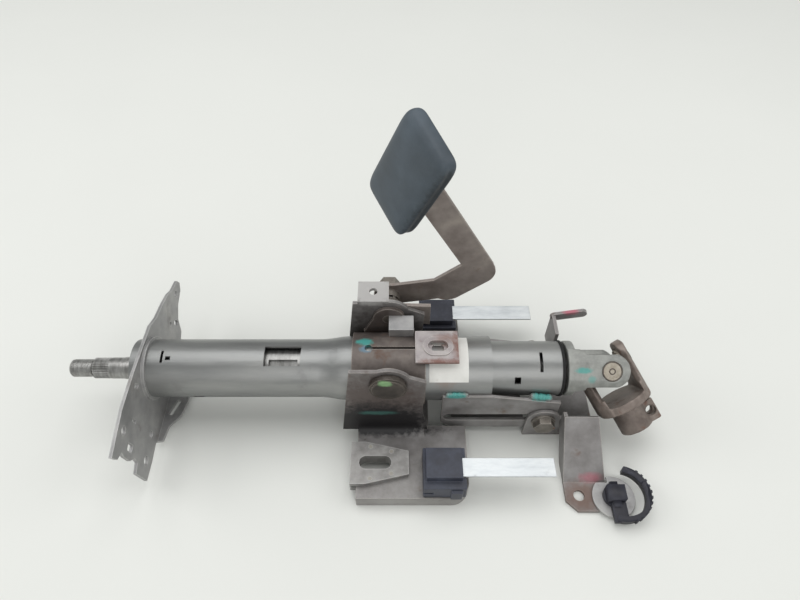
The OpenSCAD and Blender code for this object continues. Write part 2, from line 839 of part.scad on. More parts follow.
upper_race_t = 4;
upper_race_out = jacket_r - jacket_wall;
upper_race_in = shaft_d / 2 + race_t;
lower_race_out = lower_jacket_r - jacket_wall;
lower_race_in = shaft_tube_d / 2 + race_t / 2;

module upper_bearing_race() {
  color(bright_steel) outer_race(upper_bearing_x, upper_race_out, upper_race_out - upper_race_t);
}

module upper_bearing_balls() {
  color(bright_steel) ball_set(upper_bearing_x, upper_race_in, upper_race_out - upper_race_t);
}

module upper_inner_race() {
  color(bright_steel) ring_x(upper_bearing_x, upper_bearing_x + bearing_l, upper_race_in, shaft_d / 2);
}

module lower_bearing_race() {
  color(bright_steel) outer_race(lower_bearing_x, lower_race_out, lower_race_out - race_t);
}

module lower_bearing_balls() {
  color(bright_steel) ball_set(lower_bearing_x, lower_race_in, lower_race_out - race_t);
}

module lower_inner_race() {
  color(bright_steel) ring_x(lower_bearing_x, lower_bearing_x + bearing_l, lower_race_in, shaft_tube_d / 2);
}

module lower_seal() {
  seal_x = lower_bearing_x + bearing_l + slide;
  color(black) {
    ring_x(seal_x, lower_jacket_end_x + 2, lower_race_out, shaft_tube_d / 2 + slide);
    ring_x(lower_jacket_end_x, lower_jacket_end_x + 2, lower_jacket_r + 0.8, shaft_tube_d / 2 + slide);
  }
}

module upper_shaft() {
  serration_r = serration_d / 2;
  color(bright_steel) difference() {
    union() {
      cone_x(thread_x, thread_x + chamfer, thread_d / 2 - chamfer, thread_d / 2);
      rod_x(thread_x + chamfer, serration_x - relief_l, thread_d / 2);
      rod_x(serration_x - relief_l, serration_x, thread_d / 2 - 0.8);
      rod_x(serration_x, serration_end_x, serration_r);
      rod_x(serration_end_x, pilot_end_x, pilot_d / 2);
      cone_x(pilot_end_x, shoulder_x, pilot_d / 2, shaft_d / 2);
      rod_x(shoulder_x, shaft_end_x, shaft_d / 2);
    }
    // Serration: one V groove for each tooth
    for (i = [0:serration_teeth - 1]) rotate([(i + 0.5) * 360 / serration_teeth, 0, 0])
      translate([serration_x - over, 0, serration_r]) rotate([45, 0, 0])
        translate([0, -tooth_depth / 2, -tooth_depth / 2])
          cube([serration_l + over - groove_runout, tooth_depth, tooth_depth]);
  }
}

module lower_shaft() {
  color(steel) difference() {
    rod_x(shaft_tube_x, joint_x - yoke_reach - yoke_web, shaft_tube_d / 2);
    rod_x(shaft_tube_x - over, joint_x - 50, shaft_d / 2);
  }
}

// Notched collar that the steering lock drops into, seen through the window
module lock_collar() {
  color(bright_steel) difference() {
    rod_x(window_x - 4, window_x + window_l + 4, collar_d / 2);
    rod_x(window_x - 5, window_x + window_l + 5, shaft_d / 2);
    for (a = [0:60:300]) rotate([a + 24, 0, 0])
      translate([window_x + 3, -4, collar_d / 2 - 4]) cube([window_l - 6, 8, 6]);
  }
}

// Frame of the universal joint: X along the shaft, Z along the pins of the inner yoke
module at_joint() {
  translate([joint_x, 0, 0]) rotate([yoke_turn, 0, 0]) children();
}

// Frame of the cross, bent with the outer yoke
module at_cross() {
  at_joint() rotate([0, 0, -joint_bend]) children();
}

// Fork with its two ears across Z, reaching back from the joint centre to a round base
module fork() {
  outer = ear_inner + ear_thick;
  root = -yoke_reach - yoke_web;
  widen = -yoke_reach * 0.6;
  difference() {
    union() {
      for (s = [-1, 1]) translate([0, 0, s > 0 ? ear_inner : -outer]) linear_extrude(ear_thick) {
        circle(yoke_half_w);
        polygon([[0, -yoke_half_w], [0, yoke_half_w], [widen, yoke_half_w], [root, yoke_base_w],
          [root, -yoke_base_w], [widen, -yoke_half_w]]);
      }
      rod_x(root, -yoke_reach, outer);
    }
    translate([0, 0, -outer - over]) cylinder(h = 2 * outer + 2 * over, d = cup_d);
    // Bevel the inner edges of the ears, so that the other yoke can swing past them
    for (y = [-yoke_half_w, yoke_half_w], z = [-ear_inner, ear_inner])
      translate([-yoke_reach * 0.7, y, z]) rotate([45, 0, 0])
        translate([0, -ear_bevel / sqrt(2), -ear_bevel / sqrt(2)])
          cube([yoke_reach * 0.7 + yoke_half_w + over, ear_bevel * sqrt(2), ear_bevel * sqrt(2)]);
    // Round the fork to the envelope of a forging
    difference() {
      rod_x(root - over, yoke_half_w + over, 2 * outer);
      rod_x(root - 2 * over, yoke_half_w + 2 * over, outer + 1);
    }
  }
}

// Two needle cups along Z
module cups() {
  outer = ear_inner + ear_thick;
  for (s = [0, 180]) rotate([s, 0, 0]) difference() {
    translate([0, 0, outer - cup_l - 0.5]) cylinder(h = cup_l, d = cup_d);
    translate([0, 0, 0]) cylinder(h = cross_l + slide / 2, d = cross_d + 2 * running);
  }
}

module inner_yoke() { color("#a7a9ab") at_joint() fork(); }

module inner_cups() { color(bright_steel) at_joint() cups(); }

module cross() {
  color(steel) at_cross() {
    translate([0, 0, -cross_l]) cylinder(h = 2 * cross_l, d = cross_d);
    rotate([90, 0, 0]) translate([0, 0, -cross_l]) cylinder(h = 2 * cross_l, d = cross_d);
    for (a = [0, 90]) rotate([a, 0, 0]) translate([0, 0, -11]) cylinder(h = 22, d = cross_d + 3);
  }
}

module outer_cups() { color(bright_steel) at_cross() rotate([90, 0, 0]) cups(); }

// Outer yoke: a fork facing back, and a split clamp for the intermediate shaft
module outer_yoke() {
  clamp_x0 = yoke_reach + yoke_web;
  lug = clamp_r + 7;
  color(rust) at_cross() difference() {
    union() {
      rotate([90, 0, 0]) mirror([1, 0, 0]) fork();
      rod_x(yoke_reach + yoke_web - over, clamp_x0 + clamp_l, clamp_r);
      translate([clamp_x0 + 4, 0, -7]) cube([clamp_l - 4, lug, 14]);
    }
    rod_x(clamp_x0, clamp_x0 + clamp_l + over, clamp_bore_d / 2);
    translate([clamp_x0 + 2, 0, -1.5]) cube([clamp_l, 2 * lug, 3]);
    translate([clamp_x0 + clamp_l / 2 + 2, clamp_r + 1.5, -20]) cylinder(h = 40, d = clamp_hole_d);
  }
}

// Outline of the lever: hub, foot and cranked arm
module lever_outline() {
  slot_2d([clamp_x, clamp_z], foot_mid, hub_r - 1);
  slot_2d(foot_mid, elbow, foot_r);
  slot_2d(arm_foot, arm_tip, arm_r);
}

module lever_arm() {
  color(rust) sheet_xz(lever_y, lever_t) difference() {
    union() {
      lever_outline();
      translate([clamp_x, clamp_z]) circle(hub_r);
    }
    translate([clamp_x, clamp_z]) circle(stud_d / 2 + running);
  }
}

// Padded grip, moulded over the end of the arm
module lever_grip() {
  corner = 12;
  edge = 3;
  color(black) difference() {
    translate(grip_at) rotate([0, 0, grip_yaw]) rotate([grip_roll, 0, 0]) rotate([0, grip_pitch, 0])
      translate([0, 0, -grip_t / 2]) {
        translate([0, 0, edge]) linear_extrude(grip_t - 2 * edge) round_rect(grip_h, grip_w, corner);
        linear_extrude(grip_t) round_rect(grip_h - 2 * edge, grip_w - 2 * edge, corner - edge);
      }
    sheet_xz(lever_y, lever_t) lever_outline();
  }
}

rake_bracket();
near_capsule();
far_capsule();
shear_pins();
near_strap();
far_strap();
near_strap_guide();
far_strap_guide();
lower_bracket();
mounting_leg();
hook_arm();
pivot_bolt();
pivot_nut();
clip_bracket();
harness_clip();
upper_jacket();
lower_jacket();
jacket_sleeves();
switch_plate();
saddle();
stop_plate();
guide_stud();
clamp_stud();
friction_plate();
fixed_cam();
thrust_washer();
clamp_nut();
slotted_tab();
label();
pivot_channel();
upper_bearing_race();
upper_bearing_balls();
lower_bearing_race();
lower_bearing_balls();
lower_seal();
upper_shaft();
lower_shaft();
lock_collar();
upper_inner_race();
lower_inner_race();
inner_yoke();
inner_cups();
cross();
outer_yoke();
outer_cups();
lever_arm();
lever_grip();
moving_cam();
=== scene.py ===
import json
import math

import bmesh
import bpy
from mathutils import Matrix, Vector


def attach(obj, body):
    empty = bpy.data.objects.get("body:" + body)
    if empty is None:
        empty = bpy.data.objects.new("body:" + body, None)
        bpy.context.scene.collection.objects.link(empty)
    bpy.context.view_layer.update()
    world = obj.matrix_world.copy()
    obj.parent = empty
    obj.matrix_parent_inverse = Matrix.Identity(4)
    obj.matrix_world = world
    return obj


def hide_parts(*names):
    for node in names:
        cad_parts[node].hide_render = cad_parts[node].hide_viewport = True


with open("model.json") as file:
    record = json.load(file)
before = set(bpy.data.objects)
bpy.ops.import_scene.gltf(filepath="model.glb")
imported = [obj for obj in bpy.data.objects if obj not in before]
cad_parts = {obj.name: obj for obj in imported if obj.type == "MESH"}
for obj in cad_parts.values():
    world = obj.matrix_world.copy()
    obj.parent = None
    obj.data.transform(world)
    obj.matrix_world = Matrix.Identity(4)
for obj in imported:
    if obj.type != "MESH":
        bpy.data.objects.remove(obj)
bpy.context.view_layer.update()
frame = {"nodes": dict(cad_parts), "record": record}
nodes = frame["nodes"]
record = frame["record"]
scene = bpy.context.scene
MM = 0.001

# Part of the mottle noise's range that carries the tones and the roughness
MOTTLE_LOW, MOTTLE_HIGH = 0.3, 0.7
# Roughness and metallic value of a stain, and of a dab
STAIN_ROUGH, STAIN_METAL = 0.8, 0.1
DAB_ROUGH, DAB_METAL = 0.5, 0.05
# Shift of the noise along X and Y for each further stain, and along Z for all of them, in metres
STAIN_X, STAIN_Y, STAIN_Z = 0.13, 0.07, 0.19
# A dab ends where its distance in half lengths, with this much noise added, comes to the edge value
DAB_EDGE, DAB_NOISE, DAB_NOISE_MM = 1.65, 1.3, 4
# Wear: its reach from an edge, how far the mottle breaks it up, where it starts and is full
WEAR_REACH, WEAR_BREAK, WEAR_START, WEAR_FULL, WEAR_STRENGTH = 1.3 * MM, 0.12, 1.03, 0.93, 0.7
GRAIN_DEPTH = 0.3 * MM


def linear(hex_colour):
    """sRGB hex to linear RGBA."""
    parts = [int(hex_colour[i:i + 2], 16) / 255 for i in (1, 3, 5)]
    return [c / 12.92 if c <= 0.04045 else ((c + 0.055) / 1.055) ** 2.4 for c in parts] + [1.0]


def add(material, kind, links=None, **settings):
    """Adds a node with its settings; a link's value is a socket to join or a constant."""
    made = material.node_tree.nodes.new(kind)
    for key, value in settings.items():
        setattr(made, key, value)
    for key, value in (links or {}).items():
        if isinstance(value, bpy.types.NodeSocket):
            material.node_tree.links.new(value, made.inputs[key])
        else:
            made.inputs[key].default_value = value
    return made


def per_metre(size_mm):
    """Pattern scale for a feature of that size."""
    return 1 / (size_mm * MM)


def layered(name, tones, mottle_mm, rough, metallic=0.0, spots=(), dabs=(), stretch=(1, 1, 1),
            grain_mm=1.2, grain=0.15, specular=0.5, worn=None):
    """A surface of mottled tones under stains, worn edges and dabs of paint, dirt or rust.

    tones: two or three hex colours from dark to light
    rough: roughness of the darkest and of the lightest tone
    spots: stains as (hex, size mm, share left bare, softness)
    dabs: (place in mm, half lengths in mm along X, Y and Z, hex, softness, strength)
    stretch: scale of the mottle and the grain along X, Y and Z
    worn: hex of the metal that shows along rubbed edges
    """
    material = bpy.data.materials.new(name)
    material.use_nodes = True
    shader = material.node_tree.nodes["Principled BSDF"]
    place = add(material, "ShaderNodeTexCoord").outputs["Object"]
    along = add(material, "ShaderNodeMapping", {
        "Vector": place, "Scale": stretch}).outputs["Vector"]

    # Tones and roughness
    mottle = add(material, "ShaderNodeTexNoise", {
        "Vector": along, "Scale": per_metre(mottle_mm),
        "Detail": 6.0, "Roughness": 0.6}).outputs["Fac"]
    blend = add(material, "ShaderNodeValToRGB", {"Fac": mottle})
    gap = (MOTTLE_HIGH - MOTTLE_LOW) / (len(tones) - 1)
    steps = [MOTTLE_LOW + gap * i for i in range(len(tones))]
    for step in steps[2:]:
        blend.color_ramp.elements.new(step)
    for point, step, tone in zip(blend.color_ramp.elements, steps, tones):
        point.position = step
        point.color = linear(tone)
    colour = blend.outputs["Color"]
    shine = add(material, "ShaderNodeMapRange", {
        "Value": mottle, "From Min": MOTTLE_LOW, "From Max": MOTTLE_HIGH,
        "To Min": rough[0], "To Max": rough[1]}).outputs["Result"]
    metal = metallic

    # Stains, each from its own part of the noise. A mix node's sockets go by number: 0 is the
    # factor, 2 and 3 are its two values, 6 and 7 its two colours.
    for i, (tone, size_mm, bare, soft) in enumerate(spots, 1):
        shifted = add(material, "ShaderNodeMapping", {
            "Vector": place, "Location": (STAIN_X * i, STAIN_Y * i, STAIN_Z)}).outputs["Vector"]
        patch = add(material, "ShaderNodeTexNoise", {
            "Vector": shifted, "Scale": per_metre(size_mm),
            "Detail": 8.0, "Roughness": 0.65}).outputs["Fac"]
        mask = add(material, "ShaderNodeMapRange", {
            "Value": patch, "From Min": bare, "From Max": bare + soft}).outputs["Result"]
        colour = add(material, "ShaderNodeMix", {0: mask, 6: colour, 7: linear(tone)},
                     data_type="RGBA").outputs[2]
        shine = add(material, "ShaderNodeMix", {0: mask, 2: shine, 3: STAIN_ROUGH}).outputs[0]
        if metallic:
            metal = add(material, "ShaderNodeMix", {0: mask, 2: metal, 3: STAIN_METAL}).outputs[0]

    # Bare metal where a rounded edge turns away from its flat face
    if worn:
        flat = add(material, "ShaderNodeNewGeometry").outputs["True Normal"]
        turned = add(material, "ShaderNodeBevel", {
            "Radius": WEAR_REACH}, samples=4).outputs["Normal"]
        agree = add(material, "ShaderNodeVectorMath", {0: flat, 1: turned},
                    operation="DOT_PRODUCT").outputs["Value"]
        broken = add(material, "ShaderNodeMath", {0: mottle, 1: WEAR_BREAK, 2: agree},
                     operation="MULTIPLY_ADD").outputs["Value"]
        mask = add(material, "ShaderNodeMapRange", {
            "Value": broken, "From Min": WEAR_START, "From Max": WEAR_FULL,
            "To Max": WEAR_STRENGTH}).outputs["Result"]
        colour = add(material, "ShaderNodeMix", {0: mask, 6: colour, 7: linear(worn)},
                     data_type="RGBA").outputs[2]

    # Dabs: ragged ellipsoids
    if dabs:
        noise = add(material, "ShaderNodeTexNoise", {
            "Vector": place, "Scale": per_metre(DAB_NOISE_MM),
            "Detail": 5.0, "Roughness": 0.7}).outputs["Fac"]
    for centre, reach, tone, soft, strength in dabs:
        away = add(material, "ShaderNodeVectorMath", {
            0: place, 1: [c * MM for c in centre]}, operation="SUBTRACT").outputs["Vector"]
        shaped = add(material, "ShaderNodeVectorMath", {
            0: away, 1: [per_metre(r) for r in reach]}, operation="MULTIPLY").outputs["Vector"]
        far = add(material, "ShaderNodeVectorMath", {0: shaped},
                  operation="LENGTH").outputs["Value"]
        ragged = add(material, "ShaderNodeMath", {0: noise, 1: DAB_NOISE, 2: far},
                     operation="MULTIPLY_ADD").outputs["Value"]
        mask = add(material, "ShaderNodeMapRange", {
            "Value": ragged, "From Min": DAB_EDGE + soft / 2, "From Max": DAB_EDGE - soft / 2,
            "To Max": strength}).outputs["Result"]
        colour = add(material, "ShaderNodeMix", {0: mask, 6: colour, 7: linear(tone)},
                     data_type="RGBA").outputs[2]
        shine = add(material, "ShaderNodeMix", {0: mask, 2: shine, 3: DAB_ROUGH}).outputs[0]
        if metallic:
            metal = add(material, "ShaderNodeMix", {0: mask, 2: metal, 3: DAB_METAL}).outputs[0]

    # Grain
    fine = add(material, "ShaderNodeTexNoise", {
        "Vector": along, "Scale": per_metre(grain_mm), "Detail": 3.0}).outputs["Fac"]
    relief = add(material, "ShaderNodeBump", {
        "Height": fine, "Strength": grain, "Distance": GRAIN_DEPTH}).outputs["Normal"]

    join = material.node_tree.links.new
    join(colour, shader.inputs["Base Color"])
    join(shine, shader.inputs["Roughness"])
    join(relief, shader.inputs["Normal"])
    if isinstance(metal, bpy.types.NodeSocket):
        join(metal, shader.inputs["Metallic"])
    else:
        shader.inputs["Metallic"].default_value = metal
    shader.inputs["Specular IOR Level"].default_value = specular
    return material


# Size, place and turn of the lever grip
GRIP_SIZE = Vector((88, 52, 17)) * MM
GRIP_AT = Vector((238, 46, 164)) * MM
GRIP_YAW, GRIP_ROLL, GRIP_PITCH = math.radians(31), math.radians(22), math.radians(100)
GRIP_TURN = (Matrix.Rotation(GRIP_YAW, 4, "Z") @ Matrix.Rotation(GRIP_ROLL, 4, "X")
             @ Matrix.Rotation(GRIP_PITCH, 4, "Y"))

# Inspection paints, rust and painted shade
TEAL = "#3c9a93"
LEAF = "#86b27c"
PINK = "#b5566a"
RUST = "#6d4530"
DEEP_RUST = "#4a3024"
TAB_RUST = "#74483a"
# Dark colour painted as shade on the inside of the far wall
PAINTED_SHADE = "#2b2623"

# Drawn steel tube with a satin grey zinc coat: faint lengthwise streaks and a few stains
jacket_zinc = layered(
    "jacket_zinc_steel", ["#7b7c7c", "#8d8e8d", "#9f9f9d"], 30, (0.3, 0.44), 0.8,
    spots=[("#6b6a67", 40, 0.60, 0.25), (RUST, 3, 0.74, 0.04)], stretch=(0.2, 1, 1),
    dabs=[((268, -14, 20), (8, 14, 14), "#8a6f5e", 0.9, 0.5)])
# Zinc-plated pressed sheet: grey and slightly blotchy
zinc_sheet = layered(
    "zinc_plated_sheet", ["#8b8b8b", "#9f9e9e", "#b3b2b0"], 18, (0.4, 0.58), 0.6,
    spots=[("#77726d", 24, 0.58, 0.25), (DEEP_RUST, 3, 0.74, 0.04)], worn="#c9c9c7",
    dabs=[((-1, 8, 27), (6, 12, 8), "#6f6460", 0.9, 0.6),
          ((222, 5, 42), (3, 3, 3), LEAF, 0.5, 0.8)])
# Pressed steel sheet stained by oil and thin rust: grey with brown stains and rubbed edges, a paler
# wing, and paint on the welds, the leg and the hooked arm. The walls are dark: the near wall from
# dirt and painted shade, black at its foot, and the inside of the far wall from painted shade
oily_sheet = layered(
    "oily_pressed_steel", ["#6c6967", "#868382", "#9c9a99"], 22, (0.42, 0.62), 0.5,
    spots=[("#6d5648", 20, 0.60, 0.16), ("#4a4039", 10, 0.67, 0.12)], worn="#b9b4ae",
    # Near wall: dark brown, dirt and painted shade
    dabs=[((214, -35, 8), (44, 9, 36), "#4c3f3a", 0.9, 0.85),
          ((238, -84, -52), (46, 26, 10), "#a3a19d", 0.9, 0.5),
          # Foot of the near wall: black, dirt and painted shade
          ((212, -35, -29), (50, 6, 30), "#161416", 0.6, 1.0),
          ((214, -36, -14), (15, 6, 3), "#3f7068", 0.7, 0.6),
          # Inside of the far wall: painted shade
          ((212, 34, 4), (40, 9, 34), PAINTED_SHADE, 0.8, 0.8),
          ((210, 42, 50), (17, 15, 8), "#b3b1af", 0.4, 0.85),
          ((277, -28, 3), (8, 5, 3), TEAL, 0.5, 0.85),
          ((346, -25, -2), (8, 5, 4), TEAL, 0.5, 0.85),
          ((387, -73, -51), (9, 4, 4), PINK, 0.9, 0.5),
          ((380, 54, 8), (7, 4, 4), PINK, 0.7, 0.75),
          ((378, -88, -53), (16, 12, 8), "#6b4f42", 0.9, 0.7)])
# Thinly rusted steel: brown-grey film over the metal
rusted_sheet = layered(
    "film_rusted_steel", ["#756b66", "#8b827d", "#a0978f"], 18, (0.4, 0.58), 0.5,
    spots=[("#755a4c", 14, 0.60, 0.18), ("#4d4039", 7, 0.70, 0.08)], worn="#b5aca4")
# Saddle pressing: dark oil film and brown rust over steel, with inspection paint by the slit
saddle_steel = layered(
    "oiled_saddle_steel", ["#534c49", "#675f5b", "#7e7670"], 20, (0.36, 0.56), 0.5,
    spots=[("#664838", 16, 0.57, 0.2), ("#3a312c", 9, 0.67, 0.1)], worn="#b0a8a0",
    dabs=[((204, 6, 27), (7, 4, 4), TEAL, 0.5, 0.85),
          ((205, -1, 28), (5, 3, 4), "#5d7f93", 0.5, 0.8),
          ((222, -33, 10), (15, 4, 2), TEAL, 0.6, 0.75)])
# Hot-dip galvanised strip: bright, with a faint spangle and scratches along its length
galvanised = layered(
    "galvanised_strip", ["#adb1b4", "#c0c4c6", "#d0d3d4"], 6, (0.3, 0.45), 0.8,
    spots=[("#8f9293", 25, 0.62, 0.1)], stretch=(0.3, 1, 1))
# Die-cast aluminium: matt grey, slightly stained, with rubbed edges
diecast = layered(
    "diecast_aluminium", ["#7f7d7b", "#959391", "#aaa8a6"], 9, (0.42, 0.6), 0.6,
    spots=[("#6d645c", 12, 0.62, 0.15)], grain_mm=0.8, grain=0.25, worn="#c6c5c3")
# Turned steel: bright with a thin oily tarnish
turned_steel = layered(
    "turned_steel", ["#7d7c7a", "#979694", "#aeaeac"], 10, (0.28, 0.42), 0.85,
    spots=[("#6b5a4c", 8, 0.66, 0.1)], stretch=(4, 1, 1))
# Ground bearing steel: clean and smooth
ground_steel = layered(
    "ground_bearing_steel", ["#a3a5a7", "#b7b9bb"], 12, (0.2, 0.3), 0.9,
    spots=[("#8b867f", 5, 0.62, 0.1)])
# Needle cups: drawn steel with a warm film of old grease and dark specks
cup_steel = layered(
    "greasy_cup_steel", ["#8d8578", "#a59d90", "#b9b2a5"], 5, (0.3, 0.46), 0.65,
    spots=[("#5a4d42", 3, 0.60, 0.12)])
# Shot-blasted forging: pale grey with a coarse skin, a few rust stains and strokes of paint
blasted_forging = layered(
    "shot_blasted_forging", ["#7d7e7b", "#949591", "#a8a9a5"], 11, (0.42, 0.6), 0.55,
    spots=[(RUST, 9, 0.66, 0.1)], grain_mm=1.6, grain=0.5, worn="#c4c4c0",
    dabs=[((377, -14, 18), (6, 2, 3), TEAL, 0.6, 0.75),
          ((384, -19, 12), (3, 2, 7), TEAL, 0.7, 0.5)])
# Rusty forging: scale with brown rust, pale patches and a dark patch low on its near side
rusty_forging = layered(
    "rusty_forging", ["#675c56", "#80756e", "#988d86"], 12, (0.42, 0.64), 0.45,
    spots=[("#6d4a3a", 10, 0.57, 0.16), ("#a29b94", 12, 0.65, 0.1)], grain_mm=1.6, grain=0.55,
    dabs=[((412, -34, -32), (20, 12, 16), "#3f3632", 0.9, 0.6)])
# Dull zinc-plated fasteners
plated_fastener = layered(
    "dull_plated_fastener", ["#5d5852", "#77716a", "#8d8881"], 7, (0.35, 0.55), 0.65,
    spots=[(RUST, 6, 0.62, 0.1)], worn="#b0aba4")
# Phosphated steel: nearly black and oily, with a stroke of inspection paint on the stud
dark_stud = layered(
    "phosphated_stud", ["#37322e", "#48423d", "#5b544e"], 9, (0.32, 0.5), 0.5,
    spots=[("#5f4636", 8, 0.60, 0.15)], worn="#837a72",
    dabs=[((221, -40, 40), (5, 4, 3), LEAF, 0.6, 0.8)])
# Pale steel stamping with rust creeping in from its edges
tab_steel = layered(
    "rust_edged_stamping", ["#978f90", "#aba4a4", "#bcb6b4"], 10, (0.4, 0.55), 0.5,
    spots=[("#7d5648", 8, 0.62, 0.14)], worn="#d0cbc6",
    dabs=[((278, 0, 28), (5, 18, 5), TAB_RUST, 0.7, 0.85),
          ((263, -15, 28), (18, 4, 5), TAB_RUST, 0.7, 0.85),
          ((268, 7, 29), (9, 5, 5), "#855f50", 0.8, 0.6)])
# Glass-filled nylon: blue-black and matt with a fine moulded grain, darker at the clip and at the
# far guide
black_nylon = layered(
    "black_moulded_nylon", ["#272933", "#333641", "#424653"], 14, (0.38, 0.5),
    grain_mm=0.9, grain=0.2, specular=0.4, worn="#5d6170",
    dabs=[((404, -92, -48), (36, 30, 24), "#211f25", 0.5, 0.75),
          ((262, 72, -38), (34, 32, 30), "#191a25", 0.6, 0.7)])
# Natural nylon: milky and matt
pale_nylon = layered("natural_nylon", ["#908c84", "#a19d94"], 8, (0.45, 0.55), specular=0.4)
# Coated paper: white with slight soiling
label_paper = layered(
    "coated_label_paper", ["#d9d8d3", "#e6e5e1"], 14, (0.5, 0.6),
    spots=[("#bab3a8", 16, 0.64, 0.15)], grain=0.05)
# Moulded rubber: black and dull
seal_rubber = layered(
    "moulded_seal_rubber", ["#161616", "#212121"], 6, (0.6, 0.7), specular=0.3)
# Soft-touch moulding: slate with a fine leather-like grain, and painted shade along its near groove
# Dark dabs along the near groove: painted shade
GROOVE_SHADE = [GRIP_AT / MM + GRIP_TURN.to_3x3() @ Vector((along, -25, 1))
               for along in range(-32, 33, 8)]
soft_grip = layered(
    "soft_touch_grip", ["#3c444b", "#464f57", "#515b64"], 30, (0.46, 0.58),
    spots=[("#5f6870", 40, 0.64, 0.3)], grain_mm=0.9, grain=0.35, specular=0.4,
    dabs=[(spot, (6, 6, 6), "#191e23", 0.9, 0.75) for spot in GROOVE_SHADE])
# Matt paper sheet: even and pale
floor_paper = layered(
    "matt_floor_sheet", ["#dedfdb", "#e0e1dd"], 300, (0.8, 0.9), grain=0.0, specular=0.2)

FINISH = {
    jacket_zinc: ["upper_jacket", "lower_jacket"],
    zinc_sheet: ["switch_plate", "clip_bracket", "stop_plate"],
    oily_sheet: ["rake_bracket", "lower_bracket", "mounting_leg", "hook_arm", "pivot_channel"],
    rusted_sheet: ["friction_plate", "lever_arm"],
    saddle_steel: ["saddle"],
    galvanised: ["near_strap", "far_strap"],
    diecast: ["near_capsule", "far_capsule"],
    turned_steel: ["upper_shaft", "lower_shaft", "lock_collar", "cross"],
    ground_steel: ["upper_bearing_race", "upper_bearing_balls", "upper_inner_race",
                   "lower_bearing_race", "lower_bearing_balls", "lower_inner_race"],
    cup_steel: ["inner_cups", "outer_cups"],
    blasted_forging: ["inner_yoke"],
    rusty_forging: ["outer_yoke"],
    plated_fastener: ["pivot_bolt", "pivot_nut", "clamp_nut", "clamp_stud", "fixed_cam",
                      "moving_cam", "thrust_washer"],
    dark_stud: ["guide_stud"],
    tab_steel: ["slotted_tab"],
    black_nylon: ["near_strap_guide", "far_strap_guide", "harness_clip"],
    pale_nylon: ["shear_pins", "jacket_sleeves"],
    label_paper: ["label"],
    seal_rubber: ["lower_seal"],
    soft_grip: ["lever_grip"],
}
for material, names in FINISH.items():
    for name in names:
        slots = nodes[name].data.materials
        slots.clear()
        slots.append(material)


# Points closer than this are one: in a finished mesh, and in a CAD mesh before edges are rounded
FINISHED_MERGE = 0.005 * MM
CAD_MERGE = 0.002 * MM


def piece(bm, name, material, body, smooth=True):
    """Makes an object of a finished bmesh that rides on a body."""
    bmesh.ops.remove_doubles(bm, verts=bm.verts, dist=FINISHED_MERGE)
    bmesh.ops.recalc_face_normals(bm, faces=bm.faces)
    mesh = bpy.data.meshes.new(name)
    bm.to_mesh(mesh)
    bm.free()
    mesh.materials.append(material)
    if smooth:
        mesh.shade_smooth()
    made = bpy.data.objects.new(name, mesh)
    scene.collection.objects.link(made)
    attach(made, body)
    return made


# Lever grip: a crowned soft moulding with a full front rim and a parting groove on its near side.
# RIM is how far in mm each layer's edge steps in, by its place through the thickness; the middle
# layer has the groove instead. A vertex further out than ON_SIDE of a half length is on that side.
CROWN = 2.4 * MM
RIM = {-1: 5, -0.5: 0.6, 0.5: 0.3, 1: 3}
GROOVE = 2.2
ON_SIDE = 0.99
bm = bmesh.new()
bmesh.ops.create_cube(bm, size=1, matrix=Matrix.Diagonal((*GRIP_SIZE, 1)))
bmesh.ops.subdivide_edges(bm, edges=bm.edges[:], cuts=3, use_grid_fill=True)
for vert in bm.verts:
    across, up, deep = (2 * c / size for c, size in zip(vert.co, GRIP_SIZE))
    if abs(deep) > ON_SIDE:
        vert.co.z += math.copysign(CROWN, deep) * ((1 - across ** 2) * (1 - up ** 2) - 0.5)
    inset = RIM.get(round(deep * 2) / 2, GROOVE if up < -ON_SIDE else 0) * MM
    if abs(across) > ON_SIDE:
        vert.co.x -= math.copysign(inset, across)
    if abs(up) > ON_SIDE:
        vert.co.y -= math.copysign(inset, up)
bmesh.ops.transform(bm, matrix=Matrix.Translation(GRIP_AT) @ GRIP_TURN, verts=bm.verts)
grip = piece(bm, "grip_pad", soft_grip, "lever")
full_edges = grip.modifiers.new("full_edges", "SUBSURF")
full_edges.levels = full_edges.render_levels = 3
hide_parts("lever_grip")

# Edges that turn by more than SHARP are bevelled or kept sharp; triangles within FLAT are one face
SHARP = math.radians(32)
FLAT = math.radians(1)


def merged(name):
    """The mesh of a CAD node with its triangles joined into whole faces."""
    bm = bmesh.new()
    bm.from_mesh(nodes[name].data)
    bmesh.ops.remove_doubles(bm, verts=bm.verts, dist=CAD_MERGE)
    bmesh.ops.dissolve_limit(bm, angle_limit=FLAT, verts=bm.verts, edges=bm.edges)
    return bm


def stand_in(name, bm):
    """Stands for a CAD node with a finished bmesh, on the same body and slot."""
    body = next(b for b, members in record["behaviour"]["bodies"].items() if name in members)
    made = piece(bm, name + "_finished", nodes[name].data.materials[0], body)
    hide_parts(name)
    return made


def bevelled(name, bm, edges, width_mm, segments):
    """Stands for a CAD node with some of its edges rounded and its flat faces kept flat."""
    bmesh.ops.bevel(bm, geom=edges, offset=width_mm * MM, offset_type="OFFSET", affect="EDGES",
                    segments=segments, profile=0.5, material=-1, clamp_overlap=True)
    made = stand_in(name, bm)
    made.modifiers.new("flat_faces", "WEIGHTED_NORMAL").keep_sharp = True
    return made


# Rolled and cast edges, by their width in mm
ROLLED = {
    0.4: ["near_strap", "far_strap", "slotted_tab", "clip_bracket", "stop_plate"],
    0.6: ["switch_plate", "saddle", "lever_arm", "pivot_channel", "lower_bracket",
          "mounting_leg", "hook_arm", "near_capsule", "far_capsule", "harness_clip",
          "clamp_nut", "pivot_bolt", "pivot_nut"],
    0.8: ["rake_bracket", "near_strap_guide", "far_strap_guide", "guide_stud", "lock_collar"],
}
for width, names in ROLLED.items():
    for name in names:
        bm = merged(name)
        sharp = [e for e in bm.edges if len(e.link_faces) == 2 and e.calc_face_angle() > SHARP]
        bevelled(name, bm, sharp, width, segments=2)

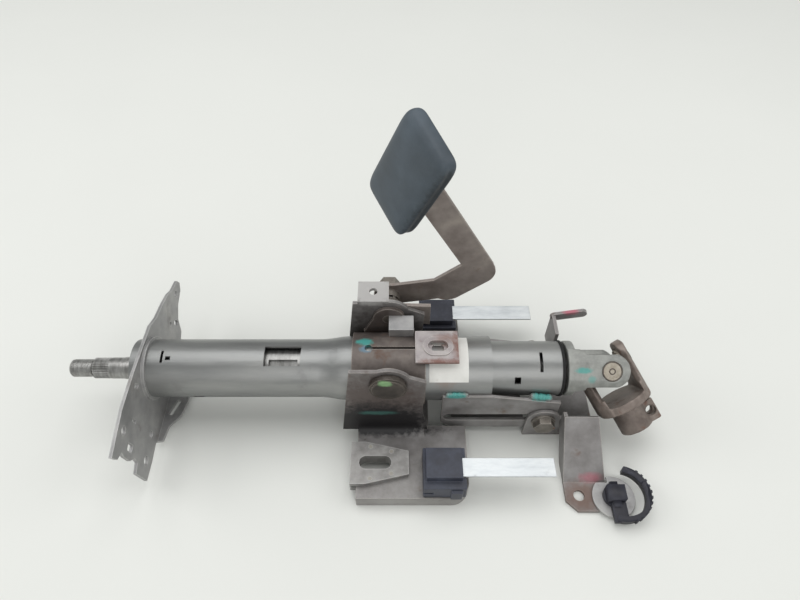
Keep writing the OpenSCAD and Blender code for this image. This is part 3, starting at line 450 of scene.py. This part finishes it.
# Forged yokes: one skin with rounded edges and corners all over
for name in ("inner_yoke", "outer_yoke"):
    bm = bmesh.new()
    bm.from_mesh(nodes[name].data)
    yoke = stand_in(name, bm)
    skin = yoke.modifiers.new("forged_skin", "REMESH")
    skin.mode = "VOXEL"
    skin.voxel_size = 0.7 * MM
    skin.use_smooth_shade = True
    rounding = yoke.modifiers.new("rounded_edges", "SMOOTH")
    rounding.factor = 0.5
    rounding.iterations = 7

# Upper jacket: the two bends of its drawn flare are rounded. Their edges run round the tube, at one
# X, and turn by an angle between these two.
LEAST_BEND, MOST_BEND = math.radians(4), math.radians(25)
SAME_X = 0.01 * MM
FLARE_WIDTH = 5
bm = merged("upper_jacket")
bends = [e for e in bm.edges if len(e.link_faces) == 2
         and abs(e.verts[0].co.x - e.verts[1].co.x) < SAME_X
         and LEAST_BEND < e.calc_face_angle() < MOST_BEND]
tube = bevelled("upper_jacket", bm, bends, FLARE_WIDTH, segments=5)
tube.data.set_sharp_from_angle(angle=SHARP)

# Rolled thread on the shaft end: one V ridge, as (X, radius) in mm, wound at its pitch with STEPS
# to a turn
PITCH = 1.5 * MM
STEPS = 32
TURNS = 10
THREAD_START = -36.4
RIDGE = ((-0.7, 6.8), (-0.1, 7.3), (0.1, 7.3), (0.7, 6.8))
bm = bmesh.new()
ridge = [bm.verts.new(((THREAD_START + x) * MM, 0, radius * MM)) for x, radius in RIDGE]
edges = [bm.edges.new(pair) for pair in zip(ridge, ridge[1:] + ridge[:1])]
bmesh.ops.spin(bm, geom=ridge + edges, cent=(0, 0, 0), axis=(1, 0, 0),
               dvec=(PITCH / STEPS, 0, 0), angle=TURNS * math.tau, steps=TURNS * STEPS,
               use_merge=False, use_duplicate=False)
bmesh.ops.holes_fill(bm, edges=[e for e in bm.edges if e.is_boundary], sides=4)
piece(bm, "wheel_nut_thread", turned_steel, "shaft", smooth=False)


# Weld drops: how far apart in radii, how uneven, and how fast the unevenness changes along the row
DROP_STEP, DROP_SWELL, DROP_BEAT = 0.8, 0.15, 2.3


def weld(name, start, end, radius):
    """Weld bead: a row of overlapping drops of uneven size between two points in mm."""
    start, end = Vector(start), Vector(end)
    count = max(2, round((end - start).length / (DROP_STEP * radius)))
    bm = bmesh.new()
    for i in range(count + 1):
        spot = start.lerp(end, i / count) * MM
        swell = 1 + DROP_SWELL * math.sin(DROP_BEAT * i)
        bmesh.ops.create_uvsphere(bm, u_segments=10, v_segments=6, radius=radius * swell * MM,
                                  matrix=Matrix.Translation(spot))
    piece(bm, name, oily_sheet, "column")


for where, side in (("near", -1), ("far", 1)):
    weld(where + "_channel_weld_front", (270, 27.2 * side, 3.2), (285, 27.2 * side, 3.2), 1.9)
    weld(where + "_channel_weld_end", (339, 25 * side, -2.8), (352, 25 * side, -5), 2.8)

# Dark rings on the ends of the needle cups, as (radius, radius of the wire) in mm: the staked rim
# and the centre dimple. The inner yoke is turned about the shaft, and the joint is bent at rest.
JOINT_AT = Vector((400, 0, 0)) * MM
JOINT_TURN, JOINT_BEND = math.radians(40), math.radians(60)
CUP_END = 22
CUP_RINGS = ((7.5, 0.5), (2.2, 0.5))
INNER_AXIS = Vector((0, -math.sin(JOINT_TURN), math.cos(JOINT_TURN)))
OUTER_AXIS = Vector((math.sin(JOINT_BEND), math.cos(JOINT_BEND) * math.cos(JOINT_TURN),
                     math.cos(JOINT_BEND) * math.sin(JOINT_TURN)))
for name, body, axis in (("inner_cup_rings", "shaft", INNER_AXIS),
                         ("outer_cup_rings", "outer_joint", OUTER_AXIS)):
    bm = bmesh.new()
    for side in (-1, 1):
        turn = (axis * side).to_track_quat("Z", "Y").to_matrix().to_4x4()
        for radius, wire in CUP_RINGS:
            upright = (Matrix.Translation((radius * MM, 0, CUP_END * MM))
                       @ Matrix.Rotation(math.pi / 2, 4, "X"))
            earlier = set(bm.verts)
            ring = bmesh.ops.create_circle(bm, segments=8, radius=wire * MM,
                                           matrix=upright)["verts"]
            edges = list({e for v in ring for e in v.link_edges})
            bmesh.ops.spin(bm, geom=ring + edges, cent=(0, 0, 0), axis=(0, 0, 1),
                           angle=math.tau, steps=32, use_merge=True, use_duplicate=False)
            bmesh.ops.transform(bm, matrix=Matrix.Translation(JOINT_AT) @ turn,
                                verts=[v for v in bm.verts if v not in earlier])
    piece(bm, name, dark_stud, body)

# Floor, just under the wings
FLOOR_AT = (0.2, 0, -56.05 * MM)
bm = bmesh.new()
bmesh.ops.create_grid(bm, x_segments=1, y_segments=1, size=4, matrix=Matrix.Translation(FLOOR_AT))
mesh = bpy.data.meshes.new("floor")
bm.to_mesh(mesh)
bm.free()
mesh.materials.append(floor_paper)
floor = bpy.data.objects.new("floor", mesh)
scene.collection.objects.link(floor)

# Light: soft square lamps that look at the middle of the column, in a pale room
LIT = Vector((0.2, 0, 0))
for name, place, size, power in (("ceiling_panel", (0.15, 0.45, 1.7), 1.6, 16),
                                 ("window_side", (-1.2, 0.2, 1.0), 0.9, 7),
                                 ("right_side", (1.5, 0.1, 1.0), 0.9, 5),
                                 ("front_fill", (0.4, -1.5, 1.0), 1.4, 9)):
    light = bpy.data.lights.new(name, "AREA")
    light.size = size
    light.energy = power
    lamp = bpy.data.objects.new(name, light)
    lamp.location = place
    lamp.rotation_euler = (LIT - Vector(place)).to_track_quat("-Z", "Y").to_euler()
    scene.collection.objects.link(lamp)

world = bpy.data.worlds.new("soft_room")
world.use_nodes = True
room = world.node_tree.nodes["Background"].inputs
room["Color"].default_value = linear("#eef0ee")
room["Strength"].default_value = 0.46
scene.world = world
scene.view_settings.view_transform = "Standard"

# Camera, fitted to the photograph
camera = bpy.data.cameras.new("camera")
camera.sensor_width = 36
camera.lens = 27.9
holder = bpy.data.objects.new("camera", camera)
holder.location = (0.232, -0.2771, 0.4342)
holder.rotation_euler = (math.radians(38.8), 0, 0)
scene.collection.objects.link(holder)
scene.camera = holder
